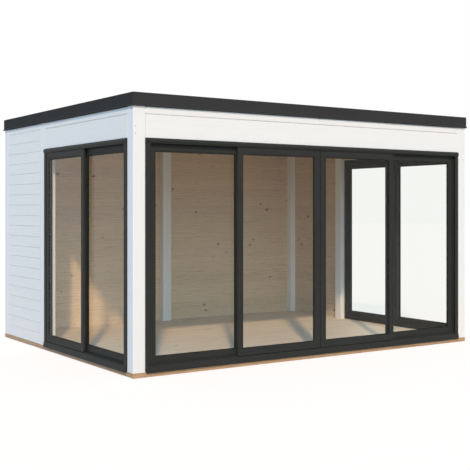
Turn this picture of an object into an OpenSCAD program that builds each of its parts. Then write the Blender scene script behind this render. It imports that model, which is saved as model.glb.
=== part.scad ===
// Garden shed with a flat roof: a post-and-board room on ground bearers,
// glazed on the front and on both sides by two-track sliding doors.
// Origin at ground level in the middle of the plan, +Z up, front towards -Y, millimetres.

/* [Building] */
// Outside width across the corner posts
wall_w = 4160; // [3600:10:5000]
// Outside depth across the corner posts
wall_d = 3180; // [2900:10:4000]

/* [Base and floor] */
// Height of the ground bearers and of the joists between them
bearer_h = 45; // [35:1:90]
// Width of the ground bearers
bearer_w = 120; // [100:1:150]
// Width of a floor joist
joist_w = 45; // [30:1:80]
// Largest distance between floor joists, centre to centre
joist_pitch = 520; // [300:10:700]
// Thickness of the floor boards
floor_t = 16; // [12:1:28]
// Expansion gap between the floor and what stands round it
floor_gap = 3; // [1:0.5:8]

/* [Posts and walls] */
// Side of the square posts
post_s = 120; // [100:1:150]
// Chamfer along the post edges
post_arris = 6; // [2:0.5:12]
// Distance from the front wall face to the middle posts of the side walls
mid_post_y = 1990; // [1700:10:2300]
// Thickness of the board walls
wall_t = 44; // [28:1:70]
// Thickness of the beams over the doors
header_t = 90; // [80:1:110]
// Height of the beams over the doors
header_h = 210; // [100:5:400]
// Height of the plate that closes the walls at the top
plate_h = 65; // [45:1:120]

/* [Roof] */
// Width of a rafter
rafter_w = 45; // [35:1:80]
// Height of a rafter
rafter_h = 90; // [70:1:160]
// Largest distance between rafters, centre to centre
rafter_pitch = 620; // [400:10:800]
// Thickness of the roof deck
deck_t = 18; // [12:1:28]
// Thickness of the roof membrane
membrane_t = 4; // [2:0.5:8]
// Projection of the fascia beyond the walls
fascia_out = 10; // [5:1:30]
// Width of the fascia's seat on the wall plates
fascia_seat = 20; // [10:1:40]
// Projection of the drip edge beyond the fascia's face
drip_out = 10; // [4:1:20]
// Height of the drip edge's slope
drip_rise = 12; // [6:1:25]
// Height of the drip edge's nose
drip_nose = 4; // [2:0.5:8]
// Reach of the fascia's lip over the membrane
lip_reach = 30; // [15:1:60]
// Thickness of the fascia's lip
lip_t = 8; // [4:0.5:15]

/* [Door frames] */
// Height of a door frame, from the bearers to the top of its head
door_h = 2060; // [1950:5:2120]
// Depth of a door frame from its face inwards
frame_depth = 74; // [74:1:100]
// Projection of the door frames beyond the wall face
frame_out = 11; // [4:1:30]
// Face width of a jamb
jamb_w = 46; // [35:1:80]
// Face height of the head
head_h = 46; // [40:1:80]
// Face height of the sill
sill_h = 50; // [30:1:80]
// Projection of the head's and the sill's nose beyond the frame's face
nose_out = 9; // [6:1:20]
// Height of the upright edge of the sill's nose
sill_nose_h = 20; // [8:1:25]
// Width of the flat strip of the sill in front of the jambs
sill_lap = 2; // [0:0.5:5]
// Depth of the guide grooves in the head
guide_depth = 31; // [26:1:36]
// Depth of the pockets in the jambs that take the leaf edges
pocket_depth = 14; // [12:1:25]
// Width of a track rib on the sill
rib_w = 6; // [4:0.5:10]
// Height of a track rib on the sill
rib_h = 12; // [9:0.5:16]

/* [Sliding leaves] */
// Thickness of a leaf
leaf_t = 26; // [24:1:30]
// Gap between the leaves on the two tracks
track_gap = 12; // [12:0.5:16]
// Face width of the stiles at the jambs and at the meeting edge
stile_w = 70; // [55:1:100]
// Face width of the overlapping stiles
interlock_w = 60; // [45:1:80]
// Height of a leaf's bottom rail
bottom_rail_h = 70; // [60:1:140]
// Height of a leaf's top rail
top_rail_h = 64; // [45:1:120]
// Running gap between a leaf and what it passes
run_gap = 5; // [5:0.5:5.5]
// Gap between the two meeting stiles of the front door
meet_gap = 6; // [5:0.5:12]
// Width of the guide tongue along a leaf's top and jamb edge
tongue_w = 14; // [10:1:16]
// Height of the guide tongue above a leaf's top rail
tongue_h = 20; // [12:1:24]
// Reach of the tongue on a leaf's jamb edge
edge_tongue = 10; // [7:0.5:12]
// Length of an interlock fin, from the leaf's face
fin_l = 7; // [4:0.5:7]
// Thickness of an interlock fin
fin_t = 3; // [2:0.5:5]

/* [Glazing] */
// Thickness of the glazing unit
pane_t = 14; // [6:1:16]
// Depth to which the pane sits in the leaf's frame
pane_edge = 12; // [6:1:18]
// Play of the pane in its groove
pane_gap = 0.3; // [0.2:0.1:0.8]
// Width of the step of the glazing bead
bead_w = 7; // [3:0.5:12]
// Depth of the step of the glazing bead
bead_d = 4; // [1:0.5:4]

/* [Rollers] */
// Radius of a roller
roller_r = 12; // [8:0.5:16]
// Width of a roller
roller_w = 8; // [6:0.5:10]
// Radius of a roller's axle
axle_r = 3.5; // [2:0.5:5]
// Distance from a leaf's edge to its roller or setting block
roller_inset = 120; // [90:5:250]
// Free play between a roller and its rib
roller_play = 0.3; // [0.1:0.1:0.5]
// Room round a roller in its pocket
roller_room = 4; // [2:0.5:6]
// Length of a setting block under a fixed leaf
block_l = 60; // [40:5:100]

/* [Hidden] */
$fn = 48;

white = "#EFEFEC";
spruce = "#B9A27C";
impregnated = "#B98D63";
anthracite = "#3A3E3E";
charcoal = "#3E3E3E";
felt = "#55565A";
glass = "#A8B4B440";

// Margin by which a cut runs past the solid that it cuts
cut = 1;

// Plan lines of the walls and posts
x_out = wall_w / 2;
y_out = wall_d / 2;
x_in = x_out - post_s;
y_in = y_out - post_s;
mid_y0 = -y_out + mid_post_y;
mid_y1 = mid_y0 + post_s;

// Heights of the floor, the walls and the roof
floor_z = bearer_h;
head_top = bearer_h + door_h;
boards_top = head_top + header_h;
wall_h = boards_top + plate_h;
deck_z = wall_h + rafter_h;
membrane_z = deck_z + deck_t;
lip_z = membrane_z + membrane_t;

// Plan of the door frames: width between posts and between jambs
front_w = 2 * x_in;
side_w = mid_post_y - post_s;
side_mid_y = (mid_y0 - y_in) / 2;
front_clear = front_w - 2 * jamb_w;
side_clear = side_w - 2 * jamb_w;

// Heights of the door frames and leaves
sill_top = bearer_h + sill_h;
head_z = head_top - head_h;
leaf_z = sill_top + run_gap;
leaf_h = head_z - run_gap - leaf_z;

// Depths of the frames' inner face and of the two tracks, measured inwards from the wall face
frame_in = frame_depth - frame_out;
tracks_t = 2 * leaf_t + track_gap;
outer_track = (frame_depth - tracks_t + leaf_t) / 2 - frame_out;
inner_track = outer_track + leaf_t + track_gap;
guide_w = tongue_w + 2 * run_gap;

// Leaves: the fixed leaf touches its jamb, and the overlapping stiles line up when closed
front_leaf_w = (front_clear / 2 - meet_gap / 2 + interlock_w) / 2;
side_leaf_w = (side_clear - run_gap + interlock_w) / 2;
track_groove_w = rib_w + 2 * run_gap;
track_groove_d = rib_h;
roller_z = rib_h - run_gap + roller_play + roller_r;
fin_inset = interlock_w / 2 - run_gap / 2 - fin_t;

// Position of item i of n bars of width w, spread evenly from a to b
function spread(i, n, w, a, b) = a + i * (b - a - w) / (n - 1);

// Number of bars of width w from a to b at no more than the given pitch
function bars(pitch, w, a, b) = ceil((b - a - w) / pitch) + 1;

// Places that a child in front-door coordinates takes: x along the wall, y inwards, z up
module at_front() {
    translate([0, -y_out, 0])
        children();
}

module at_left() {
    translate([-x_out, side_mid_y, 0])
        rotate([0, 0, -90])
            children();
}

module at_right() {
    translate([x_out, side_mid_y, 0])
        rotate([0, 0, 90])
            children();
}

module at_left_and_right() {
    at_left()
        children();
    at_right()
        children();
}

module both_sides() {
    children();
    mirror([1, 0, 0])
        children();
}

module box(low, high) {
    translate(low)
        cube(high - low);
}

// Extrusion along x, from x0 to x1, of a profile drawn with y inwards and z up
module run_x(x0, x1) {
    translate([x0, 0, 0])
        rotate([90, 0, 90])
            linear_extrude(x1 - x0)
                children();
}

// Base and floor

module base_bearers_long() {
    color(impregnated)
        for (y = [-y_out, y_out - bearer_w])
            box([-x_out, y, 0], [x_out, y + bearer_w, bearer_h]);
}

module base_bearers_short() {
    color(impregnated)
        for (x = [-x_out, x_out - bearer_w])
            box([x, -y_out + bearer_w, 0], [x + bearer_w, y_out - bearer_w, bearer_h]);
}

module floor_joists() {
    span = x_out - bearer_w;
    count = bars(joist_pitch, joist_w, -span, span);
    color(spruce)
        for (i = [1 : count - 2])
            translate([spread(i, count, joist_w, -span, span), 0, 0])
                box([0, -y_out + bearer_w, 0], [joist_w, y_out - bearer_w, bearer_h]);
}

module floor_deck() {
    by_doors = x_out - frame_in - floor_gap;
    by_walls = x_out - wall_t - floor_gap;
    y_front = -y_out + frame_in + floor_gap;
    y_back = y_out - wall_t - floor_gap;
    color(spruce)
        translate([0, 0, floor_z])
            linear_extrude(floor_t)
                difference() {
                    union() {
                        translate([-by_doors, y_front])
                            square([2 * by_doors, y_back - y_front]);
                        translate([-by_walls, mid_y1])
                            square([2 * by_walls, y_back - mid_y1]);
                    }
                    for (p = post_plan)
                        translate(p - [floor_gap, floor_gap])
                            square(post_s + 2 * floor_gap);
                }
}

// Posts and walls

// Low corner of each post in the plan
post_plan = [
    [-x_out, -y_out],
    [x_in, -y_out],
    [-x_out, y_in],
    [x_in, y_in],
    [-x_out, mid_y0],
    [x_in, mid_y0],
    [-post_s / 2, y_in]
];

module post(corner) {
    a = post_arris;
    s = post_s;
    color(white)
        translate([corner.x, corner.y, bearer_h])
            linear_extrude(wall_h - bearer_h)
                polygon([[a, 0], [s - a, 0], [s, a], [s, s - a], [s - a, s], [a, s], [0, s - a], [0, a]]);
}

module post_front_left() { post(post_plan[0]); }
module post_front_right() { post(post_plan[1]); }
module post_back_left() { post(post_plan[2]); }
module post_back_right() { post(post_plan[3]); }
module post_left_middle() { post(post_plan[4]); }
module post_right_middle() { post(post_plan[5]); }
module post_back_middle() { post(post_plan[6]); }

module left_wall() {
    color(white)
        box([-x_out, mid_y1, bearer_h], [-x_out + wall_t, y_in, boards_top]);
}

module right_wall() {
    mirror([1, 0, 0])
        left_wall();
}

module back_wall_left() {
    color(white)
        box([-x_in, y_out - wall_t, bearer_h], [-post_s / 2, y_out, boards_top]);
}

module back_wall_right() {
    mirror([1, 0, 0])
        back_wall_left();
}

module header(width) {
    color(white)
        box([-width / 2, 0, head_top], [width / 2, header_t, boards_top]);
}

module front_header() { at_front() header(front_w); }
module left_header() { at_left() header(side_w); }
module right_header() { at_right() header(side_w); }

module wall_plates() {
    color(white) {
        box([-x_in, -y_out, boards_top], [x_in, -y_in, wall_h]);
        both_sides() {
            box([-x_out, -y_in, boards_top], [-x_in, mid_y0, wall_h]);
            box([-x_out, mid_y1, boards_top], [-x_in, y_in, wall_h]);
            box([-x_in, y_in, boards_top], [-post_s / 2, y_out, wall_h]);
        }
    }
}

// Roof

module roof_rafters() {
    x_seat = x_out - fascia_seat;
    y_seat = y_out - fascia_seat;
    count = bars(rafter_pitch, rafter_w, -x_seat, x_seat);
    color(spruce)
        for (i = [0 : count - 1])
            translate([spread(i, count, rafter_w, -x_seat, x_seat), 0, 0])
                box([0, -y_seat, wall_h], [rafter_w, y_seat, deck_z]);
}

module roof_sheet(low, thickness) {
    x_seat = x_out - fascia_seat;
    y_seat = y_out - fascia_seat;
    box([-x_seat, -y_seat, low], [x_seat, y_seat, low + thickness]);
}

module roof_deck() { color(spruce) roof_sheet(deck_z, deck_t); }
module roof_membrane() { color(felt) roof_sheet(membrane_z, membrane_t); }

// Section of the fascia: face with a drip edge below and a lip over the membrane
module fascia_section() {
    top = lip_z + lip_t;
    face = -fascia_out;
    tip = face - drip_out;
    polygon([
        [fascia_seat, wall_h],
        [fascia_seat, lip_z],
        [fascia_seat + lip_reach, lip_z],
        [fascia_seat + lip_reach, top],
        [face, top],
        [face, wall_h + drip_nose + drip_rise],
        [tip, wall_h + drip_nose],
        [tip, wall_h]
    ]);
}

// Fascia along a wall of the given length, mitred at both ends, with its face towards -y
module fascia(length) {
    half = length / 2 + fascia_out + drip_out;
    depth = fascia_out + drip_out + fascia_seat + lip_reach;
    color(charcoal)
        intersection() {
            run_x(-half, half)
                fascia_section();
            translate([0, -fascia_out - drip_out, wall_h - cut])
                linear_extrude(lip_z + lip_t - wall_h + 2 * cut)
                    polygon([[-half, 0], [half, 0], [half - depth, depth], [depth - half, depth]]);
        }
}

module fascia_front_back() {
    for (turn = [0, 180])
        rotate([0, 0, turn])
            translate([0, -y_out, 0])
                fascia(wall_w);
}

module fascia_sides() {
    for (turn = [90, -90])
        rotate([0, 0, turn])
            translate([0, -x_out, 0])
                fascia(wall_d);
}

// Door frames

module door_head(width) {
    color(anthracite)
        difference() {
            run_x(-width / 2, width / 2)
                translate([0, head_z]) {
                    translate([-frame_out, 0])
                        square([frame_depth, head_h]);
                    translate([head_h / 2 - frame_out - nose_out, head_h / 2])
                        circle(head_h / 2);
                }
            for (y = [outer_track, inner_track])
                box([-width / 2 - cut, y - guide_w / 2, head_z - cut],
                    [width / 2 + cut, y + guide_w / 2, head_z + guide_depth]);
        }
}

module door_sill(width, clear) {
    color(anthracite) {
        run_x(-width / 2, width / 2)
            translate([0, bearer_h])
                polygon([
                    [frame_in, 0],
                    [frame_in, sill_h],
                    [-frame_out - sill_lap, sill_h],
                    [-frame_out - nose_out, sill_nose_h],
                    [-frame_out - nose_out, 0]
                ]);
        for (y = [outer_track, inner_track])
            box([-clear / 2, y - rib_w / 2, sill_top - cut], [clear / 2, y + rib_w / 2, sill_top + rib_h]);
    }
}

module door_jambs(width) {
    color(anthracite)
        both_sides()
            difference() {
                box([-width / 2, -frame_out, sill_top], [-width / 2 + jamb_w, frame_in, head_z]);
                for (y = [outer_track, inner_track])
                    box([-width / 2 + jamb_w - pocket_depth, y - guide_w / 2, sill_top - cut],
                        [-width / 2 + jamb_w + cut, y + guide_w / 2, head_z + cut]);
            }
}

module front_door_head() { at_front() door_head(front_w); }
module front_door_sill() { at_front() door_sill(front_w, front_clear); }
module front_door_jambs() { at_front() door_jambs(front_w); }
module left_door_head() { at_left() door_head(side_w); }
module left_door_sill() { at_left() door_sill(side_w, side_clear); }
module left_door_jambs() { at_left() door_jambs(side_w); }
module right_door_head() { at_right() door_head(side_w); }
module right_door_sill() { at_right() door_sill(side_w, side_clear); }
module right_door_jambs() { at_right() door_jambs(side_w); }

// Leaves. A leaf is drawn with its jamb or meeting edge at x = 0, its overlapping stile
// at x = w, its track in the middle of its thickness and its bottom at z = 0.

// Frame of stiles and rails with the stepped opening and the groove of the pane
module leaf_ring(w) {
    x0 = stile_w;
    x1 = w - interlock_w;
    z0 = bottom_rail_h;
    z1 = leaf_h - top_rail_h;
    groove = pane_t / 2 + pane_gap;
    difference() {
        box([0, -leaf_t / 2, 0], [w, leaf_t / 2, leaf_h]);
        box([x0, -leaf_t / 2 - cut, z0], [x1, leaf_t / 2 + cut, z1]);
        box([x0 - pane_edge, -groove, z0 - pane_edge], [x1 + pane_edge, groove, z1 + pane_edge]);
        for (side = [-1, 1])
            translate([0, side * leaf_t / 2, 0])
                box([x0 - bead_w, -bead_d, z0 - bead_w], [x1 + bead_w, bead_d, z1 + bead_w]);
    }
}

module leaf_pane(w) {
    reach = pane_edge - pane_gap;
    color(glass)
        box([stile_w - reach, -pane_t / 2, bottom_rail_h - reach],
            [w - interlock_w + reach, pane_t / 2, leaf_h - top_rail_h + reach]);
}

// Fin of the overlapping stile, on the outer (-1) or inner (1) face of the leaf
module interlock_fin(w, side) {
    x = w - fin_inset - fin_t;
    face = side * leaf_t / 2;
    tip = face + side * fin_l;
    box([x, min(face, tip), 0], [x + fin_t, max(face, tip), leaf_h]);
}

module roller() {
    rotate([90, 0, 0]) {
        cylinder(r = roller_r, h = roller_w, center = true);
        cylinder(r = axle_r, h = track_groove_w + 2 * axle_r, center = true);
    }
}

// Leaf that runs: rollers in the bottom rail, fin on the inner face,
// and a tongue on the edge that closes into a jamb
module moving_leaf(w, tongued) {
    half = track_groove_w / 2;
    pocket = roller_r + roller_room;
    color(anthracite) {
        difference() {
            union() {
                leaf_ring(w);
                box([0, -tongue_w / 2, leaf_h - cut], [w, tongue_w / 2, leaf_h + tongue_h]);
                if (tongued)
                    box([-edge_tongue, -tongue_w / 2, 0], [cut, tongue_w / 2, leaf_h + tongue_h]);
            }
            box([-edge_tongue - cut, -half, -cut], [w + cut, half, track_groove_d]);
            for (x = [roller_inset, w - roller_inset])
                box([x - pocket, -half, -cut], [x + pocket, half, roller_z + pocket]);
        }
        for (x = [roller_inset, w - roller_inset])
            translate([x, 0, roller_z])
                roller();
        interlock_fin(w, 1);
    }
}

// Leaf that stays: setting blocks on the rib, tongue in the jamb, fin on the outer face
module fixed_leaf(w) {
    half = track_groove_w / 2;
    color(anthracite) {
        difference() {
            union() {
                leaf_ring(w);
                box([0, -tongue_w / 2, leaf_h - cut], [w, tongue_w / 2, leaf_h + tongue_h]);
                box([-edge_tongue, -tongue_w / 2, 0], [cut, tongue_w / 2, leaf_h + tongue_h]);
            }
            difference() {
                box([-edge_tongue - cut, -half, -cut], [w + cut, half, track_groove_d]);
                for (x = [roller_inset, w - roller_inset])
                    box([x - block_l / 2, -leaf_t, rib_h - run_gap], [x + block_l / 2, leaf_t, leaf_h]);
            }
        }
        interlock_fin(w, -1);
    }
}

// Places of the leaves in door coordinates

module front_fixed_place() {
    at_front()
        translate([-front_clear / 2, inner_track, leaf_z])
            children();
}

module front_moving_place() {
    at_front()
        translate([-meet_gap / 2, outer_track, leaf_z])
            mirror([1, 0, 0])
                children();
}

module side_fixed_place() {
    translate([side_clear / 2, inner_track, leaf_z])
        mirror([1, 0, 0])
            children();
}

module side_moving_place() {
    translate([-side_clear / 2 + run_gap, outer_track, leaf_z])
        children();
}

module front_fixed_leaves() { both_sides() front_fixed_place() fixed_leaf(front_leaf_w); }
module front_fixed_panes() { both_sides() front_fixed_place() leaf_pane(front_leaf_w); }
module side_fixed_leaves() { at_left_and_right() side_fixed_place() fixed_leaf(side_leaf_w); }
module side_fixed_panes() { at_left_and_right() side_fixed_place() leaf_pane(side_leaf_w); }

module front_left_leaf() { front_moving_place() moving_leaf(front_leaf_w, false); }
module front_left_pane() { front_moving_place() leaf_pane(front_leaf_w); }
module front_right_leaf() { mirror([1, 0, 0]) front_left_leaf(); }
module front_right_pane() { mirror([1, 0, 0]) front_left_pane(); }

module left_leaf() { at_left() side_moving_place() moving_leaf(side_leaf_w, true); }
module left_pane() { at_left() side_moving_place() leaf_pane(side_leaf_w); }
module right_leaf() { at_right() side_moving_place() moving_leaf(side_leaf_w, true); }
module right_pane() { at_right() side_moving_place() leaf_pane(side_leaf_w); }

base_bearers_long();
base_bearers_short();
floor_joists();
floor_deck();
post_front_left();
post_front_right();
post_back_left();
post_back_right();
post_left_middle();
post_right_middle();
post_back_middle();
left_wall();
right_wall();
back_wall_left();
back_wall_right();
front_header();
left_header();
right_header();
wall_plates();
roof_rafters();
roof_deck();
roof_membrane();
fascia_front_back();
fascia_sides();
front_door_head();
front_door_sill();
front_door_jambs();
left_door_head();
left_door_sill();
left_door_jambs();
right_door_head();
right_door_sill();
right_door_jambs();
front_fixed_leaves();
front_fixed_panes();
side_fixed_leaves();
side_fixed_panes();
front_left_leaf();
front_left_pane();
front_right_leaf();
front_right_pane();
left_leaf();
left_pane();
right_leaf();
right_pane();
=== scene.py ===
import math

import bmesh
import bpy
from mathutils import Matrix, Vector


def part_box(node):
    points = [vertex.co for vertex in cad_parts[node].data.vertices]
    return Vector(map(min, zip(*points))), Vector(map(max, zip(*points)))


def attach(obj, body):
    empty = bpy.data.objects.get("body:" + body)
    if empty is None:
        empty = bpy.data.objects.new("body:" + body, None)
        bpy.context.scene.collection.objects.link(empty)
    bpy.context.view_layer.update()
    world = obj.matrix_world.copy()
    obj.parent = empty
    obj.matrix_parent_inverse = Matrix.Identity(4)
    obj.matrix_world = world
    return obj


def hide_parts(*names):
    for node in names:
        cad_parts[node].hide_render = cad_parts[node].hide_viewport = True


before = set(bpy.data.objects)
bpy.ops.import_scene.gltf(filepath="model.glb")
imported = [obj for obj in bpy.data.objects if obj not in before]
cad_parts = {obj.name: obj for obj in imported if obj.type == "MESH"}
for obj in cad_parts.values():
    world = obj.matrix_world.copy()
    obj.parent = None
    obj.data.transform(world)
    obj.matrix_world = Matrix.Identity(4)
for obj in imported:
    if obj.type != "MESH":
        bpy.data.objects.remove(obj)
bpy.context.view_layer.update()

# Studio: a pale floor in a white surround, lit by a warm low sun from the front left, three soft
# lamps and a cool sky. The camera stands level at eye height, at the photograph's place.
scene = bpy.context.scene
scene.view_settings.view_transform = "Standard"
bpy.ops.object.select_all(action="DESELECT")

EYE = (-5.849, -8.809, 1.485)
LEVEL_TURN = (math.radians(90), 0, math.radians(-33.8))
LENS = 71.28
LENS_SHIFT = -0.0569
bpy.ops.object.camera_add(location=EYE, rotation=LEVEL_TURN)
scene.camera = bpy.context.object
scene.camera.data.lens = LENS
scene.camera.data.shift_y = LENS_SHIFT


def lamp(name, direction, strength, colour, spread):
    """A sun lamp that shines along a direction, with the softness of its shadows in degrees."""
    turn = Vector(direction).to_track_quat("-Z", "Y").to_euler()
    bpy.ops.object.light_add(type="SUN", rotation=turn)
    light = bpy.context.object
    light.name = name
    light.data.energy = strength
    light.data.color = colour
    light.data.angle = math.radians(spread)


lamp("warm_sun", (0.424, 0.705, -0.568), strength=2.25, colour=(1.0, 0.71, 0.46), spread=3.0)
lamp("cool_sky", (0.90, 0.31, -0.36), strength=0.46, colour=(0.0, 0.39, 1.0), spread=40.0)
lamp("soft_front", (0.25, 0.92, -0.30), strength=0.66, colour=(1.0, 0.98, 0.98), spread=40.0)
lamp("soft_back", (-0.55, -0.75, -0.36), strength=0.80, colour=(1.0, 0.68, 0.46), spread=60.0)


def add_node(tree, kind, inputs=None, **settings):
    """A shader node with its settings, and with values or other nodes' sockets on its inputs."""
    made = tree.nodes.new(kind)
    for name, value in settings.items():
        setattr(made, name, value)
    for name, value in (inputs or {}).items():
        if isinstance(value, bpy.types.NodeSocket):
            tree.links.new(value, made.inputs[name])
        else:
            made.inputs[name].default_value = value
    return made


def calc(tree, operation, *values):
    """The result of a Math node on numbers or sockets."""
    return add_node(tree, "ShaderNodeMath", dict(enumerate(values)), operation=operation).outputs[0]


def blend(tree, share, first, second):
    """The mix of two colours by a share."""
    inputs = {0: share, 6: first, 7: second}
    return add_node(tree, "ShaderNodeMix", inputs, data_type="RGBA").outputs[2]


def ramp(tree, value, start, end):
    """A smooth step from 0 at the start to 1 at the end, which may lie below the start."""
    inputs = {"Value": value, "From Min": start, "From Max": end}
    return add_node(tree, "ShaderNodeMapRange", inputs, interpolation_type="SMOOTHSTEP").outputs[0]


def seen_directly(tree):
    """1 for rays from the camera, a mirror or glass, and 0 for rays that only carry light."""
    path = add_node(tree, "ShaderNodeLightPath").outputs
    shiny = calc(tree, "MAXIMUM", path["Is Glossy Ray"], path["Is Transmission Ray"])
    return calc(tree, "MAXIMUM", path["Is Camera Ray"], shiny)


PURE_WHITE = (1, 1, 1, 1)
HORIZON = (0.26, 0.53, 0.72, 1)
ZENITH = (0.27, 0.53, 0.74, 1)
HORIZON_END = 0.25
ZENITH_START = 0.50
world = bpy.data.worlds.new("white_surround")
world.use_nodes = True
scene.world = world
tree = world.node_tree
tree.nodes.clear()
toward = add_node(tree, "ShaderNodeTexCoord").outputs["Generated"]
height = add_node(tree, "ShaderNodeSeparateXYZ", {0: toward}).outputs["Z"]
sky = blend(tree, ramp(tree, height, HORIZON_END, ZENITH_START), HORIZON, ZENITH)
fill = add_node(tree, "ShaderNodeBackground", {"Color": sky, "Strength": 1.0}).outputs[0]
white = add_node(tree, "ShaderNodeBackground", {"Color": PURE_WHITE, "Strength": 1.0}).outputs[0]
surround = add_node(tree, "ShaderNodeMixShader", {0: seen_directly(tree), 1: fill, 2: white}).outputs[0]
add_node(tree, "ShaderNodeOutputWorld", {"Surface": surround})

STUDIO_SIZE = 120.0
STUDIO_DROP = 0.002
STUDIO_BOUNCE = (0.595, 0.48, 0.405, 1)
STUDIO_MATT = (0.28, 0.225, 0.19, 1)
STUDIO_GLOW = 0.80
bpy.ops.mesh.primitive_plane_add(size=STUDIO_SIZE, location=(0, 0, -STUDIO_DROP))
studio_floor = bpy.context.object
studio_floor.name = "studio_floor"
pale = bpy.data.materials.new("pale_floor")
pale.use_nodes = True
tree = pale.node_tree
tree.nodes.clear()
bounce = add_node(tree, "ShaderNodeBsdfDiffuse", {"Color": STUDIO_BOUNCE}).outputs[0]
matt = add_node(tree, "ShaderNodeBsdfDiffuse", {"Color": STUDIO_MATT}).outputs[0]
glow = add_node(tree, "ShaderNodeEmission", {"Color": PURE_WHITE, "Strength": STUDIO_GLOW}).outputs[0]
shown = add_node(tree, "ShaderNodeAddShader", {0: matt, 1: glow}).outputs[0]
both = add_node(tree, "ShaderNodeMixShader", {0: seen_directly(tree), 1: bounce, 2: shown}).outputs[0]
add_node(tree, "ShaderNodeOutputMaterial", {"Surface": both})
studio_floor.data.materials.append(pale)

# Ground bearers: four impregnated timbers laid flat under the walls. The two long ones run through at
# the corners and the two short ones butt between them. Sawn square, with the edges just eased.
ALIGNED = 0.9
SMOOTH_ANGLE = math.radians(15)


def block(name, low, high):
    """A cube at its size and place, open in edit mode."""
    bpy.ops.object.select_all(action="DESELECT")
    low, high = Vector(low), Vector(high)
    bpy.ops.mesh.primitive_cube_add(size=1, location=(low + high) / 2, scale=high - low)
    piece = bpy.context.object
    piece.name = name
    bpy.ops.object.transform_apply(location=True, rotation=True, scale=True)
    bpy.ops.object.mode_set(mode="EDIT")
    return piece


def pick(piece, parts, test):
    """Selects only those edges or faces of a piece in edit mode that pass a test."""
    bpy.ops.mesh.select_mode(type={"edges": "EDGE", "faces": "FACE"}[parts])
    bpy.ops.mesh.select_all(action="DESELECT")
    for part in getattr(bmesh.from_edit_mesh(piece.data), parts):
        part.select_set(test(part))
    bmesh.update_edit_mesh(piece.data)


def close(piece):
    """Leaves edit mode, with round faces shaded smooth and flat ones left flat."""
    bpy.ops.object.mode_set(mode="OBJECT")
    bpy.ops.object.shade_smooth_by_angle(angle=SMOOTH_ANGLE)
    return piece


def beam(name, low, high, arris):
    """A squared timber with its edges rounded."""
    piece = block(name, low, high)
    bpy.ops.mesh.bevel(offset=arris, segments=2, affect="EDGES")
    return close(piece)


def join(name, pieces):
    """One object of several."""
    bpy.ops.object.select_all(action="DESELECT")
    for piece in pieces:
        piece.select_set(True)
    bpy.context.view_layer.objects.active = pieces[0]
    bpy.ops.object.join()
    pieces[0].name = name
    return pieces[0]


def settle(piece, body, slot, *nodes):
    """Ties a finished piece to its body, in place of the solids that it stands for. The slot is not
    used.
    """
    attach(piece, body)
    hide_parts(*nodes)


def new_finish(name):
    """A material, its node tree and its Principled shader."""
    material = bpy.data.materials.new(name)
    material.use_nodes = True
    return material, material.node_tree, material.node_tree.nodes["Principled BSDF"]


def object_place(tree):
    """The place in the piece's own frame."""
    return add_node(tree, "ShaderNodeTexCoord").outputs["Object"]


def noise(tree, place, scale, detail, roughness=0.5):
    """Cloudy noise about one half."""
    inputs = {"Vector": place, "Scale": scale, "Detail": detail, "Roughness": roughness}
    return add_node(tree, "ShaderNodeTexNoise", inputs).outputs["Fac"]


def dress(tree, surface, colour, uneven, gain, least, shine):
    """The colour and shine of a surface, and its roughness, which follows an uneven value."""
    tree.links.new(colour, surface.inputs["Base Color"])
    tree.links.new(calc(tree, "MULTIPLY_ADD", uneven, gain, least), surface.inputs["Roughness"])
    surface.inputs["Specular IOR Level"].default_value = shine


def emboss(tree, surface, height, strength, distance):
    """A fine relief on a surface."""
    inputs = {"Strength": strength, "Distance": distance, "Height": height}
    relief = add_node(tree, "ShaderNodeBump", inputs).outputs[0]
    tree.links.new(relief, surface.inputs["Normal"])


BOARD_SHIFT = 40.0
FIBRE_STRETCH = 0.05
RING_SHARE = 0.25


def grain(tree, along, across, board, start):
    """The grain of timber that runs along one axis in boards across another: the stretched place in
    the fibre, streaks, their tone with the rings, the chance number of each board, and the place on
    the board's face."""
    axes = add_node(tree, "ShaderNodeSeparateXYZ", {0: object_place(tree)}).outputs
    depth = axes[({"X", "Y", "Z"} - {along, across}).pop()]
    side = axes[across]
    count = calc(tree, "FLOOR", calc(tree, "DIVIDE", calc(tree, "SUBTRACT", side, start), board))
    dice = add_node(tree, "ShaderNodeTexWhiteNoise", {"W": count}, noise_dimensions="1D")
    chance = dice.outputs["Value"]
    run = calc(tree, "MULTIPLY_ADD", chance, BOARD_SHIFT, axes[along])
    stretched = {0: calc(tree, "MULTIPLY", run, FIBRE_STRETCH), 1: side, 2: depth}
    fibre = add_node(tree, "ShaderNodeCombineXYZ", stretched).outputs[0]
    streaks = noise(tree, fibre, 140.0, 4.0, 0.6)
    wide = {"Vector": fibre, "Scale": 16.0, "Distortion": 9.0, "Detail": 2.0, "Detail Scale": 1.4}
    rings = add_node(tree, "ShaderNodeTexWave", wide, bands_direction="Y").outputs["Fac"]
    fine = calc(tree, "MULTIPLY", streaks, 1 - RING_SHARE)
    tone = calc(tree, "MULTIPLY_ADD", rings, RING_SHARE, fine)
    face = add_node(tree, "ShaderNodeCombineXYZ", {0: run, 1: side}).outputs[0]
    return fibre, streaks, tone, chance, face


def varied(tree, colour, chance, spread):
    """A colour that is a little darker or lighter from board to board."""
    value = calc(tree, "MULTIPLY_ADD", chance, spread, 1 - spread / 2)
    return add_node(tree, "ShaderNodeHueSaturation", {"Value": value, "Color": colour}).outputs[0]


LATE_WOOD = (0.62, 0.54, 0.46)
FLECK_STRETCH = (0.16, 1.0, 1.0)
FLECK_SHARE = 0.8
DASH_SHARE = 0.55
KNOT_BROWN = (0.085, 0.050, 0.028, 1)
KNOT_RAGGED = (0.016, 0.012, 0.0)
KNOT_STRETCH = (0.7, 1.0, 1.0)
KNOT_LEAST = 0.1
KNOT_GAIN = 1.2
HALO_SIZE = 2.4
HALO_SHARE = 0.5
HEART_SIZE = 0.5
HEART_SHARE = 0.85


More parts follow.
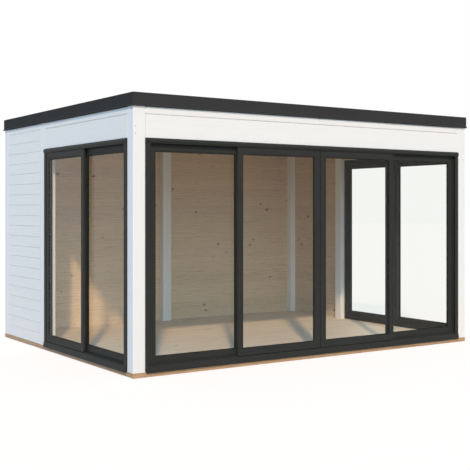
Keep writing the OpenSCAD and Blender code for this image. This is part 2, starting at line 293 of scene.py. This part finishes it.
def timber(name, pale, dark, along, across, board=10.0, start=-5.0, knots=2.8, knot_r=0.011):
    """Planed softwood: streaked grain, a tone of its own for each board, a few dark streaks, and small
    knots with the given number in a metre and the given radius."""
    material, tree, surface = new_finish(name)
    fibre, streaks, tone, chance, face = grain(tree, along, across, board, start)
    wood = blend(tree, ramp(tree, tone, 0.2, 0.85), (*pale, 1), (*dark, 1))
    wood = varied(tree, wood, chance, spread=0.08)
    shade = (*(tint * late for tint, late in zip(dark, LATE_WOOD)), 1)
    drawn_out = {"Vector": face, "Scale": FLECK_STRETCH}
    lengthwise = add_node(tree, "ShaderNodeMapping", drawn_out).outputs[0]
    flecks = ramp(tree, noise(tree, lengthwise, 110.0, 1.0, 0.4), 0.66, 0.76)
    wood = blend(tree, calc(tree, "MULTIPLY", flecks, FLECK_SHARE), wood, shade)
    dashes = ramp(tree, noise(tree, fibre, 55.0, 2.0, 0.5), 0.60, 0.78)
    wood = blend(tree, calc(tree, "MULTIPLY", dashes, DASH_SHARE), wood, shade)
    ragged = add_node(tree, "ShaderNodeTexNoise", {"Vector": face, "Scale": 45.0}).outputs["Color"]
    bent = {0: ragged, 1: KNOT_RAGGED, 2: face}
    uneven = add_node(tree, "ShaderNodeVectorMath", bent, operation="MULTIPLY_ADD").outputs[0]
    oval = add_node(tree, "ShaderNodeMapping", {"Vector": uneven, "Scale": KNOT_STRETCH}).outputs[0]
    cells = {"Vector": oval, "Scale": knots}
    spots = add_node(tree, "ShaderNodeTexVoronoi", cells, voronoi_dimensions="2D").outputs
    chosen = add_node(tree, "ShaderNodeSeparateColor", {0: spots["Color"]}).outputs[0]
    size = calc(tree, "MULTIPLY_ADD", chosen, KNOT_GAIN, KNOT_LEAST)
    radius = calc(tree, "MULTIPLY", size, knots * knot_r)
    halo = ramp(tree, spots["Distance"], calc(tree, "MULTIPLY", radius, HALO_SIZE), radius)
    heart = ramp(tree, spots["Distance"], radius, calc(tree, "MULTIPLY", radius, HEART_SIZE))
    wood = blend(tree, calc(tree, "MULTIPLY", halo, HALO_SHARE), wood, shade)
    wood = blend(tree, calc(tree, "MULTIPLY", heart, HEART_SHARE), wood, KNOT_BROWN)
    dress(tree, surface, wood, streaks, gain=0.25, least=0.45, shine=0.3)
    emboss(tree, surface, streaks, strength=0.5, distance=0.0006)
    return material


BEARER_PALE = (0.56, 0.37, 0.21)
BEARER_DARK = (0.36, 0.22, 0.12)
# Painted shade: the short bearers on the sides take a greyer, darker copy of the same timber's colour.
BEARER_SHADED_PALE = (0.52, 0.355, 0.222)
BEARER_SHADED_DARK = (0.33, 0.212, 0.129)
BEARER_ARRIS = 0.003
BEARER_KNOTS = 0.9
BEARER_KNOT_R = 0.006
long_low, long_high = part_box("base_bearers_long")
short_low, short_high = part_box("base_bearers_short")
bearer_w = short_low.y - long_low.y
long_bearers = []
short_bearers = []
for side, y in (("front", long_low.y), ("back", long_high.y - bearer_w)):
    corner = (long_low.x, y, long_low.z)
    far_corner = (long_high.x, y + bearer_w, long_high.z)
    long_bearers.append(beam(f"bearer_{side}", corner, far_corner, BEARER_ARRIS))
for side, x in (("left", short_low.x), ("right", short_high.x - bearer_w)):
    corner = (x, short_low.y, short_low.z)
    far_corner = (x + bearer_w, short_high.y, short_high.z)
    short_bearers.append(beam(f"bearer_{side}", corner, far_corner, BEARER_ARRIS))
few_knots = {"knots": BEARER_KNOTS, "knot_r": BEARER_KNOT_R}
bearers_long = join("bearers_front_back", long_bearers)
impregnated = timber("impregnated_long", BEARER_PALE, BEARER_DARK, "X", "Z", **few_knots)
bearers_long.data.materials.append(impregnated)
settle(bearers_long, "shed", "base_timber", "base_bearers_long")
bearers_short = join("bearers_left_right", short_bearers)
# The short bearers' greyer, darker timber colour is painted shade.
impregnated = timber("impregnated_short_shaded", BEARER_SHADED_PALE, BEARER_SHADED_DARK, "Y", "Z", **few_knots)
bearers_short.data.materials.append(impregnated)
settle(bearers_short, "shed", "base_timber", "base_bearers_short")

# Floor joists: seven sawn timbers between the long bearers, at even distances, that carry the floor.
# They are hidden under the boards, and left rough.
ROUGH_PALE = (0.55, 0.40, 0.24)
ROUGH_DARK = (0.36, 0.23, 0.12)
ROUGH_ARRIS = 0.002
JOIST_COUNT = 7
JOIST_W = 0.045


def bars(name, node, count, width):
    """Even rows of timbers that run along Y from side to side of a solid's box."""
    low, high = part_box(node)
    step = (high.x - low.x - width) / (count - 1)
    rows = []
    for i in range(count):
        x = low.x + i * step
        rows.append(beam(f"{name}_{i}", (x, low.y, low.z), (x + width, high.y, high.z), ROUGH_ARRIS))
    return join(name, rows)


rough_sawn = timber("rough_sawn", ROUGH_PALE, ROUGH_DARK, "Y", "Z")
joists = bars("joists", "floor_joists", JOIST_COUNT, JOIST_W)
joists.data.materials.append(rough_sawn)
settle(joists, "shed", "rough_timber", "floor_joists")

# Floor: planed spruce boards laid from side to side on the joists, with eased edges and a hair gap,
# cut out round the posts and the door frames.
FLOOR_PALE = (0.83, 0.74, 0.62)
FLOOR_DARK = (0.68, 0.592, 0.486)
FLOOR_BOARDS = 28
FLOOR_EDGE = 0.001
FLOOR_JOINT = 0.001
FLOOR_KNOTS = 1.3
SKIN = 0.0002
WELD = 0.00001


def repeated(piece, count, step):
    """A piece in edit mode, closed and set in a row of its own copies."""
    bpy.ops.object.mode_set(mode="OBJECT")
    rows = piece.modifiers.new("rows", "ARRAY")
    rows.count = count
    rows.use_relative_offset = False
    rows.use_constant_offset = True
    rows.constant_offset_displace = step
    bpy.ops.object.modifier_apply(modifier="rows")
    return piece


def row_of_boards(name, low, high, count, joint, edge):
    """Boards that run along X, set side by side along Y, with chamfered long edges."""
    pitch = (high.y - low.y) / count
    first_low = (low.x, low.y + joint / 2, low.z)
    first_high = (high.x, low.y + pitch - joint / 2, high.z)
    piece = block(name, first_low, first_high)
    pick(piece, "edges", lambda e: abs((e.verts[0].co - e.verts[1].co).normalized().x) > ALIGNED)
    bpy.ops.mesh.bevel(offset=edge, segments=1, affect="EDGES")
    return repeated(piece, count, (0, pitch, 0))


def merged(node, name):
    """A copy of a solid with its loose triangles merged to whole faces, open in edit mode."""
    piece = bpy.data.objects.new(name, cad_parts[node].data.copy())
    scene.collection.objects.link(piece)
    bpy.ops.object.select_all(action="DESELECT")
    piece.select_set(True)
    bpy.context.view_layer.objects.active = piece
    piece.data.materials.clear()
    bpy.ops.object.mode_set(mode="EDIT")
    bpy.ops.mesh.select_all(action="SELECT")
    bpy.ops.mesh.remove_doubles(threshold=WELD)
    bpy.ops.mesh.dissolve_limited(angle_limit=math.radians(1))
    return piece


floor_low, floor_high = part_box("floor_deck")
outline = merged("floor_deck", "floor_outline")
bpy.ops.object.mode_set(mode="OBJECT")
skin = Vector((0, 0, SKIN))
floor_boards = row_of_boards(
    "floor_boards", floor_low + skin, floor_high - skin, FLOOR_BOARDS, FLOOR_JOINT, FLOOR_EDGE
)
trim = floor_boards.modifiers.new("trim", "BOOLEAN")
trim.operation = "INTERSECT"
trim.object = outline
bpy.ops.object.modifier_apply(modifier="trim")
bpy.data.objects.remove(outline)
floor_pitch = (floor_high.y - floor_low.y) / FLOOR_BOARDS
floor_boards.data.materials.clear()
floor_boards.data.materials.append(
    timber("planed_floor", FLOOR_PALE, FLOOR_DARK, "X", "Y", floor_pitch, floor_low.y, FLOOR_KNOTS)
)
settle(floor_boards, "shed", "floor_boards", "floor_deck")

# Posts: seven square glued timbers with chamfered edges, painted white on all faces, standing on the
# bearers and screwed to the boards and beams between them.
WHITE = (0.845, 0.845, 0.830, 1)
WHITE_WORN = (0.770, 0.772, 0.765, 1)
WORN_SHARE = 0.6
CORNERS = ("front_left", "front_right", "back_left", "back_right")
MIDDLES = ("left_middle", "right_middle", "back_middle")


def white_paint(name, along, across, board=10.0, start=-5.0):
    """White paint on planed boards: the grain just shows in its shine and in faint streaks."""
    material, tree, surface = new_finish(name)
    _, streaks, tone, chance, _ = grain(tree, along, across, board, start)
    share = calc(tree, "MULTIPLY", ramp(tree, tone, 0.35, 0.9), WORN_SHARE)
    paint = varied(tree, blend(tree, share, WHITE, WHITE_WORN), chance, spread=0.012)
    dress(tree, surface, paint, streaks, gain=0.25, least=0.38, shine=0.3)
    emboss(tree, surface, streaks, strength=0.35, distance=0.0005)
    return material


post_paint = white_paint("white_posts", "Z", "X")
for post in CORNERS + MIDDLES:
    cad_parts["post_" + post].material_slots[0].material = post_paint

# Screws: zinc-plated heads flush in the faces of the front posts, at the ends of the beam between
# them. There are two in the left post and one in the right one.
SCREW_R = 0.0045
SCREW_OUT = 0.0008
SCREW_DEEP = 0.004
DRIVE_R = 0.0020
DRIVE_DEEP = 0.0012
LEFT_INSET = 0.020
LEFT_HEIGHTS = (2.201, 2.138)
RIGHT_INSET = 0.038
RIGHT_HEIGHT = 2.031
ZINC_DARK = (0.16, 0.16, 0.15, 1)
ZINC_PALE = (0.34, 0.33, 0.31, 1)


def screw(x, y, z):
    """A flat screw head in a face towards -Y, with a round drive recess."""
    bpy.ops.object.select_all(action="DESELECT")
    middle = (x, y - SCREW_OUT + SCREW_DEEP / 2, z)
    upright = (math.radians(90), 0, 0)
    bpy.ops.mesh.primitive_cylinder_add(
        vertices=24, radius=SCREW_R, depth=SCREW_DEEP, location=middle, rotation=upright
    )
    piece = bpy.context.object
    bpy.ops.object.transform_apply(location=True, rotation=True, scale=True)
    bpy.ops.object.mode_set(mode="EDIT")
    pick(piece, "faces", lambda f: f.normal.y < -ALIGNED)
    bpy.ops.mesh.bevel(offset=SCREW_OUT / 2, segments=2, affect="EDGES")
    pick(piece, "faces", lambda f: f.normal.y < -ALIGNED)
    bpy.ops.mesh.inset(thickness=SCREW_R - SCREW_OUT / 2 - DRIVE_R)
    bpy.ops.mesh.extrude_region_move(TRANSFORM_OT_translate={"value": (0, DRIVE_DEEP, 0)})
    return close(piece)


left_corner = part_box("post_front_left")[0]
right_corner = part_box("post_front_right")[1]
heads = []
for z in LEFT_HEIGHTS:
    heads.append(screw(left_corner.x + LEFT_INSET, left_corner.y, z))
heads.append(screw(right_corner.x - RIGHT_INSET, left_corner.y, RIGHT_HEIGHT))
screws = join("post_screws", heads)
zinc, tree, surface = new_finish("zinc_plate")
spangle = noise(tree, object_place(tree), 600.0, 3.0)
tarnish = blend(tree, spangle, ZINC_DARK, ZINC_PALE)
dress(tree, surface, tarnish, spangle, gain=0.2, least=0.40, shine=0.5)
surface.inputs["Metallic"].default_value = 0.6
screws.data.materials.append(zinc)
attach(screws, "shed")

# Board walls: twenty tongued spruce boards on top of each other between the posts. Their lower edges
# are cut back to leave a narrow, deep groove at each joint. Painted white outside, left bare inside.
BARE_PALE = (0.775, 0.625, 0.452)
BARE_DARK = (0.62, 0.469, 0.325)
WALL_BOARDS = 20
WALL_JOINT = 0.0004
LOWER_CHAMFER = 0.0022
GROOVE_DEEP = 0.0075
UPPER_CHAMFER = 0.0015
ROOM_CHAMFER = 0.001
TONGUE_W = 0.014
TONGUE_H = 0.009
TONGUE_PLAY = 0.0035
LINING_EDGE = -0.001


def line_inside(piece, material, room):
    """Gives the half of a piece that lies towards the room, without its ends, a material of its own."""
    piece.data.materials.append(material)
    low = Vector(map(min, *piece.bound_box))
    high = Vector(map(max, *piece.bound_box))
    middle = (low + high) / 2
    along = Vector((room.y, room.x, 0))
    for face in piece.data.polygons:
        inside = (face.center - middle).dot(room) > LINING_EDGE
        face.material_index = int(inside and abs(face.normal.dot(along)) < ALIGNED)


def wall_boards(name, wall, along, room):
    """The boards of a wall along an axis, with the way to the room as a vector."""
    low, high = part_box(wall)
    axis = "XY".index(along)
    wall_t = (high - low)[1 - axis]
    pitch = (high.z - low.z) / WALL_BOARDS
    piece = block(name, low, (high.x, high.y, low.z + pitch - WALL_JOINT))
    middle = Vector((*((low + high) / 2).xy, low.z + pitch / 2))

    def long_edge(edge, inward, upward):
        first, second = (vert.co - middle for vert in edge.verts)
        along_wall = abs((second - first).normalized()[axis]) > ALIGNED
        return along_wall and first.dot(room) * inward > 0 and first.z * upward > 0

    for inward, upward, offset in (
        (-1, -1, LOWER_CHAMFER),
        (-1, 1, UPPER_CHAMFER),
        (1, -1, ROOM_CHAMFER),
        (1, 1, ROOM_CHAMFER),
    ):
        pick(piece, "edges", lambda e: long_edge(e, inward, upward))
        bpy.ops.mesh.bevel(offset=offset, segments=1, affect="EDGES")
    pick(piece, "edges", lambda e: long_edge(e, -1, -1) and e.verts[0].co.z < low.z + SKIN)
    bpy.ops.transform.translate(value=room * (GROOVE_DEEP - LOWER_CHAMFER))
    pick(piece, "faces", lambda f: f.normal.z > ALIGNED)
    bpy.ops.mesh.inset(thickness=(wall_t - UPPER_CHAMFER - ROOM_CHAMFER - TONGUE_W) / 2)
    bpy.ops.mesh.extrude_region_move(TRANSFORM_OT_translate={"value": (0, 0, TONGUE_H)})
    pick(piece, "faces", lambda f: f.normal.z < -ALIGNED)
    bpy.ops.mesh.inset(thickness=(wall_t - GROOVE_DEEP - ROOM_CHAMFER - TONGUE_W) / 2 - TONGUE_PLAY)
    bpy.ops.mesh.extrude_region_move(TRANSFORM_OT_translate={"value": (0, 0, TONGUE_H + TONGUE_PLAY)})
    repeated(piece, WALL_BOARDS, (0, 0, pitch))
    bpy.ops.object.mode_set(mode="EDIT")
    bpy.ops.mesh.select_all(action="SELECT")
    top = (0, 0, high.z - WALL_JOINT / 2)
    bpy.ops.mesh.bisect(plane_co=top, plane_no=(0, 0, 1), use_fill=True, clear_outer=True)
    bpy.ops.object.mode_set(mode="OBJECT")
    piece.data.materials.append(white_paint("white_" + name, along, "Z", pitch, low.z))
    line_inside(piece, timber("bare_" + name, BARE_PALE, BARE_DARK, along, "Z", pitch, low.z), room)
    return piece


to_room = {
    "left": Vector((1, 0, 0)),
    "right": Vector((-1, 0, 0)),
    "front": Vector((0, 1, 0)),
    "back": Vector((0, -1, 0)),
}
for name, wall, along, side in (
    ("left_boards", "left_wall", "Y", "left"),
    ("right_boards", "right_wall", "Y", "right"),
    ("back_boards_left", "back_wall_left", "X", "back"),
    ("back_boards_right", "back_wall_right", "X", "back"),
):
    settle(wall_boards(name, wall, along, to_room[side]), "shed", "white_paint", wall)

# Beams over the doors: one planed timber over each door, let in between the posts, painted white
# outside and left bare inside.
BEAM_ARRIS = 0.0015
BEAM_JOINT = 0.0015
for side, along in (("front", "X"), ("left", "Y"), ("right", "Y")):
    low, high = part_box(f"{side}_header")
    header = beam(f"{side}_beam", low, high - Vector((0, 0, BEAM_JOINT)), BEAM_ARRIS)
    header.data.materials.append(white_paint(f"white_{side}_beam", along, "Z"))
    bare = timber(f"bare_{side}_beam", BARE_PALE, BARE_DARK, along, "Z")
    line_inside(header, bare, to_room[side])
    settle(header, "shed", "white_paint", f"{side}_header")

# Wall plates: boards that close the walls at the top between the posts. The front one is in two
# lengths that meet in the middle with a hair gap.
PLATE_ARRIS = 0.007
PLATE_JOINT = 0.0004
plate_low, plate_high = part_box("wall_plates")
post_w = bearer_w
x_in = plate_high.x - post_w
y_in = plate_high.y - post_w
side_mid_low, side_mid_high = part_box("post_left_middle")
back_mid_low, back_mid_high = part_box("post_back_middle")
front_parts = ((-x_in, -PLATE_JOINT / 2), (PLATE_JOINT / 2, x_in))
back_parts = ((-x_in, back_mid_low.x), (back_mid_high.x, x_in))
side_parts = ((-y_in, side_mid_low.y), (side_mid_high.y, y_in))
for side, along, parts, near, far in (
    ("front", "X", front_parts, plate_low.y, -y_in),
    ("back", "X", back_parts, y_in, plate_high.y),
    ("left", "Y", side_parts, plate_low.x, -x_in),
    ("right", "Y", side_parts, x_in, plate_high.x),
):
    lengths = []
    for start, end in parts:
        low, high = (start, near), (end, far)
        if along == "Y":
            low, high = (near, start), (far, end)
        lengths.append(beam(f"{side}_plate", (*low, plate_low.z), (*high, plate_high.z), PLATE_ARRIS))
    plate = join(f"{side}_plate", lengths)
    plate.data.materials.append(white_paint(f"white_{side}_plate", along, "Z"))
    line_inside(plate, timber(f"bare_{side}_plate", BARE_PALE, BARE_DARK, along, "Z"), to_room[side])
    settle(plate, "shed", "white_paint", "wall_plates")

# Rafters: eight sawn timbers on edge from the front plate to the back plate, at even distances. They
# carry the roof deck and are of the same rough timber as the joists.
RAFTER_COUNT = 8
RAFTER_W = 0.045
rafters = bars("rafters", "roof_rafters", RAFTER_COUNT, RAFTER_W)
rafters.data.materials.append(rough_sawn)
settle(rafters, "shed", "rough_timber", "roof_rafters")

# Roof deck: boards nailed across the rafters, with chamfered edges that show from the room. Left bare
# underneath and covered by the felt on top.
DECK_BOARDS = 28
DECK_EDGE = 0.004
DECK_JOINT = 0.0025
deck_low, deck_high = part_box("roof_deck")
deck = row_of_boards("deck_boards", deck_low, deck_high, DECK_BOARDS, DECK_JOINT, DECK_EDGE)
deck_pitch = (deck_high.y - deck_low.y) / DECK_BOARDS
deck.data.materials.append(timber("bare_deck", BARE_PALE, BARE_DARK, "X", "Y", deck_pitch, deck_low.y))
settle(deck, "shed", "rough_timber", "roof_deck")

# Roof felt: three mineral-faced sheets rolled out from side to side, each lapped over the one before
# it and torched down at the seam.
FELT_T = 0.002
FELT_SHEETS = 3
FELT_LAP = 0.08
FELT_RAMP = 0.02
FELT_DARK = (0.045, 0.046, 0.048, 1)
FELT_PALE = (0.155, 0.157, 0.163, 1)
felt_low, felt_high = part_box("roof_membrane")


def mineral_felt():
    """Dark felt with pale and dark grit pressed into it."""
    material, tree, surface = new_finish("mineral_felt")
    place = object_place(tree)
    grit = add_node(tree, "ShaderNodeTexVoronoi", {"Vector": place, "Scale": 420.0}).outputs
    shade = add_node(tree, "ShaderNodeSeparateColor", {0: grit["Color"]}).outputs[0]
    cloud = noise(tree, place, 2.5, 5.0)
    share = calc(tree, "MULTIPLY_ADD", cloud, 0.6, calc(tree, "MULTIPLY", shade, 0.4))
    colour = blend(tree, share, FELT_DARK, FELT_PALE)
    dress(tree, surface, colour, cloud, gain=0.2, least=0.72, shine=0.2)
    emboss(tree, surface, grit["Distance"], strength=0.6, distance=0.0008)
    return material


sheet_w = (felt_high.y - felt_low.y + (FELT_SHEETS - 1) * FELT_LAP) / FELT_SHEETS
sheets = []
for i in range(FELT_SHEETS):
    y0 = felt_low.y + i * (sheet_w - FELT_LAP)
    bpy.ops.object.select_all(action="DESELECT")
    middle = ((felt_low.x + felt_high.x) / 2, y0 + sheet_w / 2, felt_low.z)
    bpy.ops.mesh.primitive_plane_add(size=1, location=middle)
    sheet = bpy.context.object
    sheet.scale = (felt_high.x - felt_low.x, sheet_w, 1)
    bpy.ops.object.transform_apply(location=True, rotation=True, scale=True)
    if i > 0:
        bpy.ops.object.mode_set(mode="EDIT")
        for y in (y0 + FELT_LAP, y0 + FELT_LAP + FELT_RAMP):
            bpy.ops.mesh.select_all(action="SELECT")
            bpy.ops.mesh.bisect(plane_co=(0, y, 0), plane_no=(0, 1, 0))
        pick(sheet, "faces", lambda f: f.calc_center_median().y < y0 + FELT_LAP)
        bpy.ops.transform.translate(value=(0, 0, FELT_T))
        bpy.ops.object.mode_set(mode="OBJECT")
    thick = sheet.modifiers.new("thick", "SOLIDIFY")
    thick.thickness = FELT_T
    thick.offset = 1.0
    bpy.ops.object.modifier_apply(modifier="thick")
    sheets.append(sheet)
felt = join("felt_sheets", sheets)
felt.data.materials.append(mineral_felt())
settle(felt, "shed", "roof_felt", "roof_membrane")

# Fascia: charcoal-coated boards round the roof edge, mitred at the corners, each with a drip edge at
# the bottom and a lip that holds down the felt.
CHARCOAL = (0.037, 0.037, 0.037, 1)
CHARCOAL_WORN = (0.047, 0.047, 0.047, 1)
CHARCOAL_SHINE = 0.005
FASCIA_ARRIS = 0.0015


def coat(name, colour, worn, shine):
    """A matt powder coat: a fine orange-peel surface with faint clouds in its colour."""
    material, tree, surface = new_finish(name)
    place = object_place(tree)
    cloud = noise(tree, place, 3.0, 6.0)
    peel = noise(tree, place, 900.0, 2.0)
    dress(tree, surface, blend(tree, cloud, colour, worn), cloud, gain=0.16, least=0.45, shine=shine)
    emboss(tree, surface, peel, strength=0.25, distance=0.0003)
    return material


def eased(node, name, arris):
    """A merged copy of a solid with its sharp edges rounded."""
    piece = merged(node, name)
    bpy.ops.mesh.select_mode(type="EDGE")
    bpy.ops.mesh.select_all(action="DESELECT")
    bpy.ops.mesh.edges_select_sharp(sharpness=math.radians(30))
    bpy.ops.mesh.bevel(offset=arris, segments=2, affect="EDGES")
    return close(piece)


fascia_coat = coat("charcoal_coat", CHARCOAL, CHARCOAL_WORN, CHARCOAL_SHINE)
for sides in ("front_back", "sides"):
    fascia = eased("fascia_" + sides, "fascia_trim_" + sides, FASCIA_ARRIS)
    fascia.data.materials.append(fascia_coat)
    settle(fascia, "shed", "fascia_trim", "fascia_" + sides)

# Door frames: extruded aluminium in anthracite powder coat. Each has a head with a round nose, a sill
# with two track ribs and a sloped nose, and two jambs with pockets for the leaf edges.
ANTHRACITE = (0.024, 0.026, 0.024, 1)
ANTHRACITE_WORN = (0.034, 0.036, 0.033, 1)
ANTHRACITE_SHINE = 0.10
FRAME_ARRIS = 0.001
anthracite = coat("anthracite_coat", ANTHRACITE, ANTHRACITE_WORN, ANTHRACITE_SHINE)
for side in ("front", "left", "right"):
    for part in ("head", "sill", "jambs"):
        profile = eased(f"{side}_door_{part}", f"{side}_frame_{part}", FRAME_ARRIS)
        profile.data.materials.append(anthracite)
        settle(profile, "shed", "door_metal", f"{side}_door_{part}")

# Drip strips: narrow coated flats that hang from the noses of the sills and throw the rain clear of the
# bearers. Their edges are rounded.
DRIP_T = 0.003
DRIP_H = 0.008
DRIP_ARRIS = 0.0008
for side, across in (("front", 1), ("left", 0), ("right", 0)):
    low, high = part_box(f"{side}_door_sill")
    low.z, high.z = low.z - DRIP_H, low.z
    if side == "right":
        low[across] = high[across] - DRIP_T
    else:
        high[across] = low[across] + DRIP_T
    strip = beam(f"{side}_sill_drip", low, high, DRIP_ARRIS)
    strip.data.materials.append(anthracite)
    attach(strip, "shed")

# Leaves: stiles and rails of the same coated aluminium round a pane, on two tracks. Fixed ones stand on
# setting blocks, and sliding ones on two rollers in the bottom rail.
LEAF_ARRIS = 0.0008
leaves = {
    "front_fixed_leaves": "shed",
    "side_fixed_leaves": "shed",
    "front_left_leaf": "front_left_leaf",
    "front_right_leaf": "front_right_leaf",
    "left_leaf": "left_leaf",
    "right_leaf": "right_leaf",
}
for leaf, body in leaves.items():
    ring = eased(leaf, leaf + "_frame", LEAF_ARRIS)
    ring.data.materials.append(anthracite)
    settle(ring, body, "door_metal", leaf)

# Panes: clear float glass units set in the leaves' grooves. They take a thin-glass finish that lets
# the light straight through and mirrors a little of the surround.
GLASS_TINT = (0.978, 0.984, 0.975, 1)
MIRROR_LEAST = 0.012
MIRROR_GAIN = 0.5
MIRROR_POWER = 5.0


def clear_glass():
    """A thin pane: clear through, with a mirror image that grows towards a flat angle."""
    material, tree, surface = new_finish("clear_glass")
    tree.nodes.remove(surface)
    facing = add_node(tree, "ShaderNodeLayerWeight", {"Blend": 0.5}).outputs["Facing"]
    steep = calc(tree, "POWER", facing, MIRROR_POWER)
    share = calc(tree, "MULTIPLY_ADD", steep, MIRROR_GAIN, MIRROR_LEAST)
    wave = noise(tree, object_place(tree), 1.5, 1.0)
    relief = add_node(tree, "ShaderNodeBump", {"Strength": 0.05, "Distance": 0.002, "Height": wave})
    through = add_node(tree, "ShaderNodeBsdfTransparent", {"Color": GLASS_TINT}).outputs[0]
    mirror_inputs = {"Color": PURE_WHITE, "Roughness": 0.01, "Normal": relief.outputs[0]}
    mirror = add_node(tree, "ShaderNodeBsdfGlossy", mirror_inputs).outputs[0]
    pane = add_node(tree, "ShaderNodeMixShader", {0: share, 1: through, 2: mirror}).outputs[0]
    tree.links.new(pane, tree.nodes["Material Output"].inputs["Surface"])
    return material


glass = clear_glass()
for pane in ("front_fixed", "side_fixed"):
    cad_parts[pane + "_panes"].material_slots[0].material = glass
for pane in ("front_left", "front_right", "left", "right"):
    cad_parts[pane + "_pane"].material_slots[0].material = glass

# Gaskets and edge seals: black rubber strips between the panes and the glazing beads, on both faces of
# each pane, and the black band that seals the edge of each glass unit inside the leaf's groove.
PANE_SEAT = 0.0118
GASKET_W = 0.004
GASKET_T = 0.0017
GASKET_ROUND = 0.0006
GASKET_PLAY = 0.0001
SEAL_SEAT = 0.001
SEAL_W = 0.0143
SEAL_SKIN = 0.0004
RUBBER_BLACK = (0.010, 0.010, 0.010, 1)
RUBBER_DUSTY = (0.022, 0.022, 0.021, 1)


def rubber_ring(low, high, through, side, seat, width, thickness):
    """A flat ring with rounded edges round a pane, given by its box and the axis through it: on one
    of its two faces (side -1 or 1) or within its edge (side 0)."""
    bpy.ops.object.select_all(action="DESELECT")
    span = high - low
    middle = (low + high) / 2
    middle[through] += side * (span[through] / 2 + GASKET_PLAY)
    upright = (math.radians(90), 0, math.radians(90) * (1 - through))
    bpy.ops.mesh.primitive_plane_add(size=1, location=middle, rotation=upright)
    ring = bpy.context.object
    ring.scale = (span[1 - through] - 2 * seat, span.z - 2 * seat, 1)
    bpy.ops.object.transform_apply(location=True, rotation=True, scale=True)
    bpy.ops.object.mode_set(mode="EDIT")
    bpy.ops.mesh.select_all(action="SELECT")
    bpy.ops.mesh.inset(thickness=width)
    bpy.ops.mesh.delete(type="FACE")
    bpy.ops.object.mode_set(mode="OBJECT")
    thick = ring.modifiers.new("thick", "SOLIDIFY")
    thick.thickness = thickness
    thick.offset = side if through == 0 else -side
    bpy.ops.object.modifier_apply(modifier="thick")
    rounded = ring.modifiers.new("rounded", "BEVEL")
    rounded.width = GASKET_ROUND
    rounded.segments = 2
    bpy.ops.object.modifier_apply(modifier="rounded")
    bpy.ops.object.shade_smooth_by_angle(angle=SMOOTH_ANGLE)
    return ring


rubber, tree, surface = new_finish("black_rubber")
dust = noise(tree, object_place(tree), 40.0, 4.0)
black = blend(tree, dust, RUBBER_BLACK, RUBBER_DUSTY)
dress(tree, surface, black, dust, gain=0.2, least=0.75, shine=0.1)

front_low, front_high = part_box("front_left_pane")
side_low, side_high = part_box("left_pane")
front_w = front_high.x - front_low.x
side_w = side_high.y - side_low.y
pane_t = side_high.x - side_low.x
low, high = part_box("front_fixed_panes")
still = [
    (low, Vector((low.x + front_w, *high.yz)), 1),
    (Vector((high.x - front_w, *low.yz)), high, 1),
]
low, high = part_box("side_fixed_panes")
still += [
    (low, Vector((low.x + pane_t, low.y + side_w, high.z)), 0),
    (Vector((high.x - pane_t, high.y - side_w, low.z)), high, 0),
]
glazed = {"shed": still}
for name, through in (("front_left", 1), ("front_right", 1), ("left", 0), ("right", 0)):
    glazed[name + "_leaf"] = [(*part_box(name + "_pane"), through)]
for body, units in glazed.items():
    strips = []
    for unit in units:
        strips.append(rubber_ring(*unit, 0, SEAL_SEAT, SEAL_W, pane_t - 2 * SEAL_SKIN))
        for side in (-1, 1):
            strips.append(rubber_ring(*unit, side, PANE_SEAT, GASKET_W, GASKET_T))
    gaskets = join(f"{body}_gaskets", strips)
    gaskets.data.materials.append(rubber)
    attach(gaskets, body)
